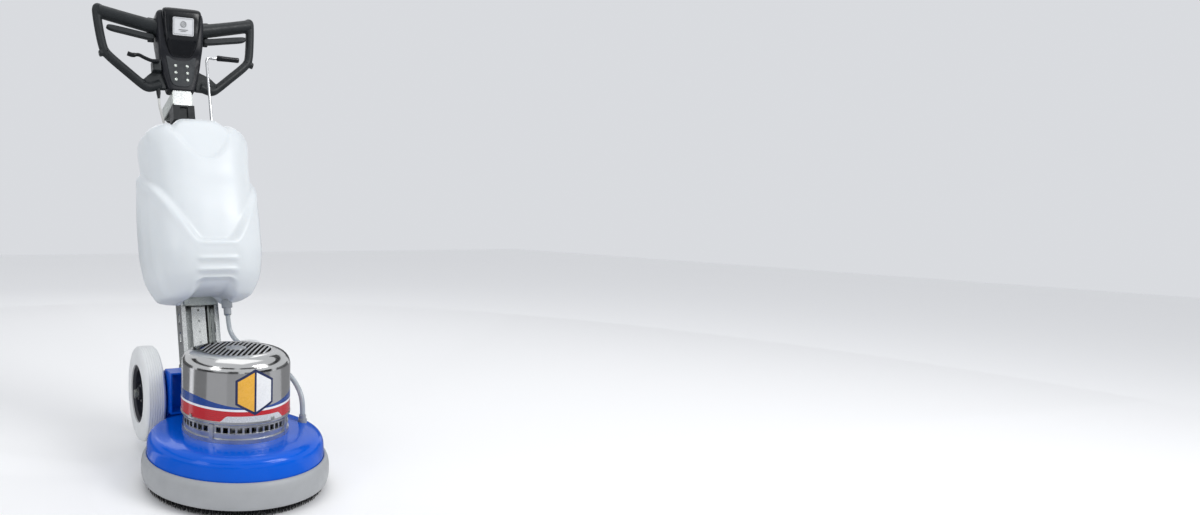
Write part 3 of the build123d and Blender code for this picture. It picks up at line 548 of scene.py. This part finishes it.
def make_tank():
    """One skin through the rows, pushed in and out by the relief, with a pocket for the cap."""
    columns = 144
    rows, rings = [], []
    for row in spline(TANK_ROWS, 16):
        if not rows or math.dist(row, rows[-1]) > 2.0:
            rows.append(row)
    for s, half, side, nose in rows:
        outline = resampled(tank_outline(max(half, 1.0), side, nose), columns // 2 + 1)
        loop = outline + [(-x, t) for x, t in outline[-2:0:-1]]
        ring = []
        for k, (x, t) in enumerate(loop):
            ahead, behind = loop[(k + 1) % len(loop)], loop[k - 1]
            along = Vector((ahead[0] - behind[0], ahead[1] - behind[1]))
            outward = Vector((along.y, -along.x)).normalized()
            if outward.dot(Vector((x, t - TANK_MIDDLE))) < 0:
                outward = -outward
            out, lift = tank_relief(x, t, s, outward)
            ring.append(handle(x + outward.x * out, min(t + outward.y * out, TANK_BACK), s + lift))
        rings.append(ring)
    tank = piece("tank", *skin(rings), "column", "tank_poly", MATERIALS["tank_poly"])
    softened(tank, 2)
    pocket = tube([handle(0, CAP_T, s) for s in (POCKET_FLOOR, 820)], POCKET_R / 1000, 64)
    cutter = piece("pocket_cutter", *pocket, None, None, MATERIALS["tank_poly"])
    cut = tank.modifiers.new("pocket", "BOOLEAN")
    cut.operation = "DIFFERENCE"
    cut.solver = "EXACT"
    cut.object = cutter
    applied(tank)
    bpy.data.objects.remove(cutter)
    tank.data.set_sharp_from_angle(angle=math.radians(48))
    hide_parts("tank_shell")


# ---- base -------------------------------------------------------------------------------
def make_deck():
    """The blue pressing and the bumper round it, both turned about the brush's axis."""
    outer = open_rounded([(212, 33), (212, 60), (212, 96), (210, 112), (200, 124), (176, 128.5), (150, 130.5),
                          (128, 131)], 3)
    inner = open_rounded([(84, 131), (80, 130), (80, 124)], 2) + [(118, 124), (190, 121)]
    inner += open_rounded([(198, 117), (205, 108), (207, 96), (207, 33)], 2)
    turned = lathe(outer + inner, TURNED_STEPS, base, close=True)
    deck = piece("deck_pressing", *turned, "chassis", "deck_paint", MATERIALS["deck_paint"], sharp=50)
    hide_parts("deck")
    profile = open_rounded([(212.4, 36), (215.6, 22), (217.5, 18), (222, 20), (225, 36), (225, 56),
                            (222.5, 68), (218, 75.5), (213.5, 77.5), (212.2, 74)], 3)
    turned = lathe(profile, TURNED_STEPS, base, close=True)
    bumper = piece("bumper", *turned, "chassis", "bumper_rubber", MATERIALS["bumper_rubber"])
    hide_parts("bumper_ring")


def around_cover(angle, radius, z):
    """A point on the motor cover: angle 0 is the front and grows to the right, in degrees."""
    a = math.radians(angle)
    return base(radius * math.sin(a), -radius * math.cos(a), z)


def bent_patch(name, material, columns, thick):
    """A thin patch bent round the cover, from columns of (angle, lower height, upper height)."""
    points, faces = [], []
    outside = COVER_R + thick
    for angle, low, high in columns:
        for r, z in ((COVER_R, low), (outside, low), (outside, high), (COVER_R, high)):
            points.append(around_cover(angle, r, z))
    for k in range(len(columns) - 1):
        for j in range(4):
            n = (j + 1) % 4
            faces.append((4 * k + j, 4 * k + n, 4 * k + 4 + n, 4 * k + 4 + j))
    return piece(name, points, faces, "chassis", "label", material, sharp=40)


def band(name, material, reach, low, high, thick):
    """A band on both sides of the front; low and high give its edges at an angle."""
    steps = 96
    angles = [-reach + 2 * reach * k / steps for k in range(steps + 1)]
    bent_patch(name, material, [(a, low(a), high(a)) for a in angles], thick)


def wave(angle):
    """Upper edge of the blue band, high at the sides and dipping to the middle."""
    return 213 + 22 * smoothstep(abs(angle), 6, 78)


def stripe(angle):
    """Upper edge of the white stripe, which is 5 mm wide."""
    return 209.5 + 4.5 * smoothstep(abs(angle), 5, 80)


def red_top(angle):
    """Upper edge of the red band, at the white stripe's lower edge."""
    return stripe(angle) - 5.0


def plate_top(angle):
    """Upper edge of the pale plate, which steps down at its ends."""
    return 180.0 + 14.5 * (1 - smoothstep(abs(angle), 27, 37))


def flat_edge(height):
    """An edge at one height all the way round."""
    return lambda angle: height


# the badge's half width, its middle's height, and its half height at the sides and in the middle
BADGE_HALF, BADGE_Z = 45.5, 248.0
BADGE_WAIST, BADGE_TIP = 27.0, 52.0


def badge_part(name, material, x0, x1, steps, inset, lift):
    """Part of the six-sided badge between two places across, with an even margin round it."""
    half, waist, tip = BADGE_HALF - inset, BADGE_WAIST - inset * 0.55, BADGE_TIP - inset * 1.2
    columns = []
    for k in range(steps + 1):
        x = x0 + (x1 - x0) * k / steps
        reach = tip - (tip - waist) * abs(x) / half
        columns.append((math.degrees(x / COVER_R), BADGE_Z - reach, BADGE_Z + reach))
    bent_patch(name, material, columns, lift)


# radius of the opening in the cover's top
VENT_R = 84.5


def make_vent():
    """Bars across the cover's top, each with a rib in painted shade under it, a round plate, and a disc of
    painted shade below the opening.
    """
    turn = Matrix.Rotation(math.radians(VENT_TURN), 3, "Z")

    def place(a, b, c):
        p = turn @ Vector((a, b, 0))
        return base(p.x, p.y, c)

    bar_section = ((-2.4, -1.4), (-2.4, -0.7), (-1.6, 0), (1.6, 0), (2.4, -0.7), (2.4, -1.4))
    rib_section = ((-1.9, -9.0), (-1.9, -1.4), (1.9, -1.4), (1.9, -9.0))
    bars, ribs = [], []
    for i in range(-7, 7):
        v = VENT_PITCH * (i + 0.5)
        half = math.sqrt((VENT_R + 1) ** 2 - v ** 2)
        bar, rib = [], []
        for k in range(25):
            u = -half + 2 * half * k / 24
            z = 322.4 + 1.6 * (1 - (math.hypot(u, v) / 85) ** 2)
            bar.append([place(u, v + dv, z + dz) for dv, dz in bar_section])
            rib.append([place(u * 0.985, v + dv, z + dz) for dv, dz in rib_section])
        bars.append(skin(bar))
        ribs.append(skin(rib))
    piece("vent_bars", *joined(bars), "chassis", "cover_chrome", MATERIALS["cast_aluminium"], sharp=40)
    # the ribs' near-black colour is painted shade, so the slots between the bars look like shadowed openings
    piece("vent_shade_ribs", *joined(ribs), "chassis", "laminations", PAINTED_SHADE_INSIDE, smooth=False)
    outline = [(26 * math.cos(a / 30 * math.pi), 25 * math.sin(a / 30 * math.pi)) for a in range(60)]
    plate = piece("vent_plate", *slab(outline, 321.0, 324.8, place), "chassis", "cover_chrome",
                  MATERIALS["cast_aluminium"], sharp=40)
    bevelled(plate, 0.0006)
    # a near-black disc under the opening: painted shade for the shadowed inside of the cover
    shade_disc = lathe([(0.5, 306), (60, 306), (100, 309), (118, 303)], 96, base)
    piece("vent_shade_disc", *shade_disc, "chassis", "laminations", PAINTED_SHADE_INSIDE)


def make_cover():
    """The polished motor cover with its vent, bands, pale plate and badge."""
    r = COVER_R
    quarter = [math.radians(5 * k) for k in range(19)]

    def shoulder(radius, height, angles):
        return [(90 + radius * math.cos(a) ** 0.94, 288 + height * math.sin(a) ** 0.94) for a in angles]

    outer = [(r - 2.0, 175), (r + 0.8, 175), (r + 1.1, 175.5), (r + 1.1, 177.6), (r, 179), (r, 205), (r, 250)]
    outer += shoulder(r - 90, 34.2, quarter) + [(VENT_R, 322.0), (VENT_R, 319.6)]
    inner = shoulder(r - 92.2, 31.8, quarter[::-1]) + [(r - 2.2, 250), (r - 2.2, 175.5)]
    turned = lathe(outer + inner, TURNED_STEPS, base, close=True)
    cover = piece("cover_shell", *turned, "chassis", "cover_chrome", MATERIALS["cover_chrome"], sharp=50)
    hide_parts("motor_cover")
    make_vent()
    band("band_blue", BAND_BLUE, 118, stripe, wave, 0.25)
    band("band_white", BAND_WHITE, 118, red_top, stripe, 0.3)
    band("band_red", BAND_RED, 118, flat_edge(181.4), red_top, 0.25)
    band("plate_pale", PALE_PLATE, 37, flat_edge(179.6), plate_top, 0.5)
    band("plate_edge", MATERIALS["cast_aluminium"], 120, flat_edge(177.0), flat_edge(181.0), 1.2)
    edge, seam = 5.5, 2.4
    badge_part("badge_back", BADGE_NAVY, -BADGE_HALF, BADGE_HALF, 24, 0, 0.55)
    badge_part("badge_left", BADGE_YELLOW, edge - BADGE_HALF, -seam, 14, edge, 0.8)
    badge_part("badge_right", BAND_WHITE, seam, BADGE_HALF - edge, 14, edge, 0.8)


def make_brush():
    """Both rings of bristles. A tuft is loose bristles, round a core in the inner ring."""
    def filament(root, tip, r, sides, spin):
        """One tapering strand, or a tuft's core."""
        ring0, ring1 = [], []
        for k in range(sides):
            a = spin + 2 * math.pi * k / sides
            d = Vector((math.cos(a), math.sin(a), 0))
            ring0.append(root + d * r)
            ring1.append(tip + d * r * 0.8)
        return skin([ring0, ring1])

    def field(inner, outer, pitch, core, strands, strand_r, flare, ragged):
        """Rows of tufts between two radii, leaning outwards, with uneven tips."""
        parts = []
        rings = max(int((outer - inner) / pitch), 1)
        for i in range(rings):
            r = inner + (outer - inner) * (i + 0.5) / rings
            count = int(2 * math.pi * r / pitch)
            for k in range(count):
                a = 2 * math.pi * (k + 0.5 * (i % 2)) / count + random.uniform(-0.1, 0.1) * pitch / r
                x, y = r * math.cos(a), r * math.sin(a)
                lean = Vector((math.cos(a), math.sin(a), 0)) * flare * (r - inner) / (outer - inner)
                root, tip = base(x, y, 43), base(x, y, 0) + lean / 1000
                tip.z = random.uniform(0.2, ragged) / 1000
                if core:
                    parts.append(filament(root, tip, core / 1000, 6, random.uniform(0, 1)))
                for _ in range(strands):
                    b = random.uniform(0, 2 * math.pi)
                    spread = Vector((math.cos(b), math.sin(b), 0))
                    end = tip + spread * random.uniform(0.4, 1.0) * (core + 1.6 if core else 3.6) / 1000
                    end.z = random.uniform(0.0, ragged) / 1000
                    beginning = root + spread * (core * 0.8 if core else 1.1) / 1000
                    parts.append(filament(beginning, end, strand_r / 1000, 3, b))
        return joined(parts)

    white = field(inner=101.5, outer=158, pitch=8.2, core=2.3, strands=9, strand_r=0.55, flare=2.0,
                  ragged=1.6)
    white = piece("bristles_white", *white, "brush", "bristle_white", MATERIALS["bristle_white"])
    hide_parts("bristles_inner")
    black = field(inner=163, outer=207, pitch=8.6, core=0, strands=15, strand_r=0.42, flare=6.0,
                  ragged=4.5)
    black = piece("bristles_black", *black, "brush", "brush_black", MATERIALS["brush_black"])
    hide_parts("bristles_outer")


# ---- wheels -----------------------------------------------------------------------------
TREAD_HALF = 19
GROOVES = 6


def make_wheels():
    """Tyres with fine grooves round the tread."""
    pitch = 2 * TREAD_HALF / GROOVES
    profile = [(78, -26), (88, -27), (92, -26.4), (100, -27.5), (114, -27), (121.5, -24.5), (126, -20)]
    tread = []
    for k in range(61):
        w = -TREAD_HALF + 2 * TREAD_HALF * k / 60
        groove = max(0.0, 1 - abs((w + TREAD_HALF) % pitch - pitch / 2) / 0.75)
        tread.append((127.8 - 0.0032 * w * w - 1.5 * groove, w))
    profile = profile + tread + [(r, -w) for r, w in reversed(profile)]
    for side, sign in (("left", -1), ("right", 1)):
        place = lambda x, y, z, g=sign: base(g * WHEEL_X + z, WHEEL_Y + x, WHEEL_Z + y)
        turned = lathe(profile, 144, place, close=True)
        tyre = piece(f"tread_{side}", *turned, f"wheel_{side}", "tyre_rubber", MATERIALS["tyre_rubber"],
                     sharp=60)
        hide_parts(f"tyre_{side}")


# ---- handle head ------------------------------------------------------------------------
def superellipse(half, front, back, power):
    """An outline between an ellipse and a box; a higher power is nearer to a box."""
    count, out = 64, []
    for k in range(count):
        a = 2 * math.pi * k / count
        c, s = math.cos(a), math.sin(a)
        x = half * math.copysign(abs(c) ** (2 / power), c)
        t = (front + back) / 2 - (back - front) / 2 * math.copysign(abs(s) ** (2 / power), s)
        out.append((x, t))
    return out


def shell_of(rows, steps, power):
    """A closed skin through rows of (height, half width, front, back)."""
    rings = []
    for s, half, front, back in spline(rows, steps):
        rings.append([handle(x, t, s) for x, t in superellipse(half, front, back, power)])
    return skin(rings)


# the chest's foot and how far the face comes forward on the way up
CHEST_FOOT_S, CHEST_FOOT_T = 893, -17
CHEST_SLOPE = 10 / 87


def chest_t(s):
    """Depth of the sloping chest at a height."""
    return CHEST_FOOT_T - (s - CHEST_FOOT_S) * CHEST_SLOPE


def make_head():
    """The head's body, its glossy hood, and the chest panel with six screws."""
    body = shell_of([(888, 37, -15, 24), (890, 41, -17, 27), (905, 46, -18, 27), (930, 54, -21, 27),
                     (960, 61, -25, 27), (985, 65, -29, 27), (1010, 68, -42, 27), (1040, 71, -50, 27),
                     (1080, 73, -58, 27), (1108, 73, -60, 24), (1122, 70, -56, 16), (1127, 61, -50, 6),
                     (1128, 42, -44, -4)], 6, 7)
    body = piece("head_body", *body, "column", "black_plastic", HEAD_BLACK, sharp=50)
    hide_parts("head_cover", "head_rear_cover")
    # glossy hood that carries the label
    hood = [(986, 22, -30, -28), (992, 32, -36, -26), (1004, 41, -46, -24), (1022, 48, -60, -22),
            (1040, 52, -68, -20), (1066, 56, -76, -18), (1092, 59, -84.5, -16), (1106, 60, -86.5, -16),
            (1116, 59, -82, -16), (1125, 56, -68, -18), (1129.5, 50, -50, -20), (1130, 40, -40, -22)]
    piece("head_hood", *shell_of(hood, 6, 6), "column", "black_plastic", GLOSS_BLACK, sharp=60)
    # chest panel that holds the six screws
    outline = rounded([(-30, 897), (30, 897), (40, 944), (49, 1004), (44, 1001), (36, 986), (22, 977),
                       (0, 975), (-22, 977), (-36, 986), (-44, 1001), (-49, 1004), (-40, 944)], 2)
    place = lambda a, b, c: handle(a, chest_t(b) - c, b)
    panel = slab(outline, -6, 2.0, place)
    panel = piece("chest_panel", *panel, "column", "black_plastic", CHARCOAL, sharp=40)
    bevelled(panel, 0.0012)
    # screw heads with a dimple, over the frame's own screws
    profile = open_rounded([(0.3, 1.2), (1.6, 1.4), (2.2, 2.9), (3.6, 3.1), (4.2, 2.3), (4.2, 0.5)], 2)
    parts = []
    for x in (-18, 18):
        for s in (918, 939, 960):
            t = chest_t(s)
            parts.append(lathe(profile, 24, lambda a, b, c, x=x, s=s, t=t: handle(x + a, t - c, s + b)))
    piece("chest_screws", *joined(parts), "column", "zinc_steel", MATERIALS["zinc_steel"])


def make_label_mark():
    """Two rings, two bars and a border, with no lettering, on the label's face."""
    top, low = Vector((0, -88.0, 1096.0)), Vector((0, -66.0, 1026.0))
    up = (top - low).normalized()
    centre = (top + low) / 2
    normal = Vector((0, -up.z, up.y))

    def place(a, b, c):
        p = centre + up * b + normal * c
        return handle(a, p.y, p.z)

    parts = []
    for inner, outer in ((7.0, 8.6), (2.4, 3.4)):
        profile = [(inner, 1.55), (inner, 1.85), (outer, 1.85), (outer, 1.55)]
        parts.append(lathe(profile, 40, lambda a, b, c: place(a, 6 + b, c), close=True))
    bars = ((-14, 14, -10.5, -9.2), (-9, 9, -14.5, -13.4))
    border = ((-29, 29, 22.4, 23.0), (-29, 29, -23.0, -22.4), (-29.3, -28.7, -23, 23), (28.7, 29.3, -23, 23))
    for x0, x1, y0, y1 in bars + border:
        parts.append(slab([(x0, y0), (x1, y0), (x1, y1), (x0, y1)], 1.55, 1.8, place))
    piece("label_mark", *joined(parts), "column", "label", INK, sharp=40)


def smooth_path(points, steps):
    """A smooth line through (across, behind, along) points of the column."""
    return [handle(*p) for p in spline(points, steps)]


def on_head(a, b, c):
    """Places a flat shape of (across, along) points at a depth behind the column's line."""
    return handle(a, c, b)


def mirrored(points, g):
    """Points with their first number turned to the other side when g is -1."""
    return [(g * p[0], *p[1:]) for p in points]


def make_handlebar(side, g):
    """Grip, guard bar and the webs that join them to the head, as one moulding."""
    grip = [(64, -26, 1078), (110, -20, 1091), (180, -13, 1110), (236, -7, 1126)]
    grip = smooth_path(mirrored(grip, g), 12)
    radii = [0.0220 - 0.0010 * smoothstep(k / len(grip), 0, 0.75) for k in range(len(grip))]
    parts = [tube(grip, radii, 28, squash=0.94)]
    guard = [(226, -8, 1128), (235, -8, 1135), (241, -7, 1134), (241, -6, 1114), (236, -5, 1066),
             (229, -5, 1020), (221, -4, 998), (201, -3, 977), (161, 0, 944), (121, 2, 911), (103, 2, 899),
             (88, 2, 899), (62, 0, 908)]
    parts.append(tube(smooth_path(mirrored(guard, g), 8), 0.0140, 24, squash=0.96))
    nub = [(220, -5, 1004), (232, -5, 993), (240, -5, 990)]
    parts.append(tube(smooth_path(mirrored(nub, g), 4), 0.0095))
    web = [(44, 894), (100, 890), (122, 912), (92, 940), (52, 958)]
    parts.append(slab(mirrored(web, g), -6, 9, on_head))
    gusset = [(64, 1052), (64, 1106), (94, 1110), (88, 1066)]
    parts.append(slab(mirrored(gusset, g), -30, -8, on_head))
    if side == "left":
        lug = [(-87, 940), (-62, 940), (-62, 976), (-87, 976)]
        parts.append(slab(lug, -29, 4, on_head))
    ear = [(74, 1041), (94, 1041), (94, 1084), (74, 1084)]
    parts.append(slab(mirrored(ear, g), -12, -2, on_head))
    bar = piece(f"bar_{side}", *joined(parts), "column", "black_plastic", GRIP)
    moulded(bar, 0.0019, 5)
    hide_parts(f"handlebar_{side}")


def make_studs(side, g):
    """Moulded studs where the guard's halves are screwed together."""
    studs = []
    profile = [(0.2, 0.6), (2.4, 0.6), (2.9, 0.0), (2.9, -3)]
    for x, t, s in ((233, -23.5, 1127), (217, -18.0, 996), (112, -12.5, 907)):
        studs.append(lathe(profile, 20, lambda a, b, c, x=x, t=t, s=s: handle(g * x + a, t - c, s + b)))
    piece(f"studs_{side}", *joined(studs), "column", "black_plastic", GLOSS_BLACK)


def make_paddle(side, g):
    """Switch paddle: a thin blade that hangs from the grip's root."""
    blade = [(76, 1041), (92, 1040), (150, 1050), (206, 1059), (219, 1067), (216, 1075), (203, 1076),
             (150, 1068), (98, 1059), (78, 1058)]
    blade = slab(rounded(mirrored(blade, g), 2), -28, -13.5, on_head)
    paddle = piece(f"paddle_{side}", *blade, f"switch_{side}", "black_plastic", GRIP, sharp=50)
    bevelled(paddle, 0.003)
    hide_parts(f"switch_lever_{side}")


def make_release_lever():
    """Bent lever at the left that frees the handle's tilt, thicker at its end."""
    line = smooth_path([(-70, -34, 966), (-92, -34, 966), (-112, -34, 973), (-130, -34, 981),
                        (-148, -34, 979), (-163, -34, 983)], 8)
    radii = [0.0052 if k < len(line) - 12 else 0.0066 for k in range(len(line))]
    release = piece("release_lever", *tube(line, radii), "tilt_release", "black_plastic", GLOSS_BLACK)
    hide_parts("tilt_lever")


def make_rod():
    """Rod down to the tank's valve, bent at the top, with its black sleeve."""
    low = [handle(ROD_X, ROD_T, s) for s in (240, 400, 700, 900)]
    bend = smooth_path([(ROD_X, ROD_T, 955), (69.6, ROD_T, 966), (73, ROD_T, 974), (80, ROD_T, 976),
                        (92, ROD_T, 974.5), (104, ROD_T, 978)], 8)
    rod = piece("valve_rod", *tube(low + bend, 0.004, 18, wide=Vector((0.1, 1, 0))), "solution_control",
                "rod_chrome", MATERIALS["rod_chrome"])
    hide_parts("solution_rod")
    sleeve = [handle(x, ROD_T, 977 - 0.02 * (x - 104)) for x in (102, 103, 106, 120, 140, 160, 169, 171, 172)]
    radii = [r / 1000 for r in (5.5, 7.6, 8.4, 8.0, 7.6, 7.6, 7.8, 7.2, 5.0)]
    piece("valve_sleeve", *tube(sleeve, radii, 24), "solution_control", "rod_chrome", GLOSS_BLACK)
    plunger = [handle(ROD_X, ROD_T, s) for s in (234, 235, 244, 246)]
    piece("valve_plunger", *tube(plunger, [0.006, 0.008, 0.008, 0.006]), "solution_control", "rod_chrome",
          MATERIALS["zinc_steel"])


# ---- stage ------------------------------------------------------------------------------
# flags round the object by angle from the front: start, stop and grey tone
FLOOR_FLAGS = ((-180, -125, 0.22), (-125, -112, 0.98), (-112, -78, 0.20), (-78, -36, 0.40), (-36, 14, 0.33),
               (14, 52, 0.22), (52, 84, 0.46), (84, 128, 0.24), (128, 180, 0.36))
HIGH_FLAGS = ((-150, -72, 0.05), (-58, -22, 0.03), (-10, 40, 0.10), (60, 140, 0.04))
# the same with their height between the angles and the tone
WALL_FLAGS = ((-175, -118, 0.70, 0.10), (-104, -66, 0.62, 0.03), (-66, -34, 0.50, 0.16),
              (-34, -14, 0.78, 0.05), (-2, 26, 0.46, 0.20), (26, 58, 0.74, 0.03), (70, 118, 0.60, 0.12),
              (130, 172, 0.80, 0.07))


def light(name, place, aim, size, power):
    """A white rectangular light turned to a point."""
    data = bpy.data.lights.new(name, "AREA")
    data.shape = "RECTANGLE"
    data.size, data.size_y = size
    data.energy = power
    obj = bpy.data.objects.new(name, data)
    bpy.context.collection.objects.link(obj)
    obj.location = place
    obj.rotation_euler = (Vector(aim) - Vector(place)).to_track_quat("-Z", "Y").to_euler()


def flag(name, profile, tone, start, stop):
    """A grey sheet that only reflections see: a profile of (radius, height) swept between angles."""
    steps = 72
    material, _, _, bsdf = shader(name, 1.0)
    bsdf.inputs["Base Color"].default_value = (tone, tone, tone * 1.03, 1)
    points, faces = [], []
    for k in range(steps + 1):
        a = math.radians(start + (stop - start) * k / steps)
        points += [(r * math.sin(a), -0.2 - r * math.cos(a), z) for r, z in profile]
    for k in range(steps):
        faces.append((2 * k, 2 * k + 1, 2 * k + 3, 2 * k + 2))
    obj = piece(name, points, faces, None, None, material)
    obj.visible_camera = False
    obj.visible_diffuse = False
    obj.visible_shadow = False


def make_stage():
    """A pale floor, four lights, an even sky, and flags for the polished cover to reflect."""
    material, _, _, bsdf = shader("stage", 0.75)
    bsdf.inputs["Base Color"].default_value = (0.93, 0.93, 0.93, 1)
    points = [(-9, -7, 0), (9, -7, 0), (9, 9, 0), (-9, 9, 0)]
    floor = piece("floor", points, [(0, 1, 2, 3)], None, None, material)
    floor.location.z = -0.0005
    light("key", (2.0, -2.5, 2.7), (0, 0, 0.6), (1.5, 1.5), 56)
    light("fill", (-2.8, -1.6, 1.9), (0, 0, 0.4), (1.2, 1.6), 12)
    light("top", (0.2, 0.2, 3.4), (0, 0, 0.4), (2.4, 2.4), 14)
    light("back", (0.5, 3.0, 2.2), (0, 0, 0.6), (2.2, 1.4), 9)
    for k, (start, stop, tone) in enumerate(FLOOR_FLAGS):
        flag(f"flag_floor_{k}", [(0.34, 0.002), (3.4, 0.002)], tone, start, stop)
    for k, (start, stop, height, tone) in enumerate(WALL_FLAGS):
        flag(f"flag_wall_{k}", [(3.0, 0.0), (3.0, height)], tone, start, stop)
    for k, (start, stop, tone) in enumerate(HIGH_FLAGS):
        flag(f"flag_high_{k}", [(2.3, 1.5), (2.1, 1.95)], tone, start, stop)
    world = bpy.data.worlds.new("world")
    world.use_nodes = True
    bpy.context.scene.world = world
    background = world.node_tree.nodes["Background"]
    background.inputs["Color"].default_value = (0.94, 0.96, 1.0, 1)
    background.inputs["Strength"].default_value = 0.74
    bpy.context.scene.view_settings.view_transform = "Standard"


make_camera()
make_hose()
for name, obj in frame["nodes"].items():
    obj.data.materials.clear()
    obj.data.materials.append(MATERIALS[node_slot[name]])
make_tank()
make_deck()
make_cover()
make_brush()
make_wheels()
make_head()
make_label_mark()
for side, g in (("left", -1), ("right", 1)):
    make_handlebar(side, g)
    make_studs(side, g)
    make_paddle(side, g)
make_release_lever()
make_rod()
make_stage()
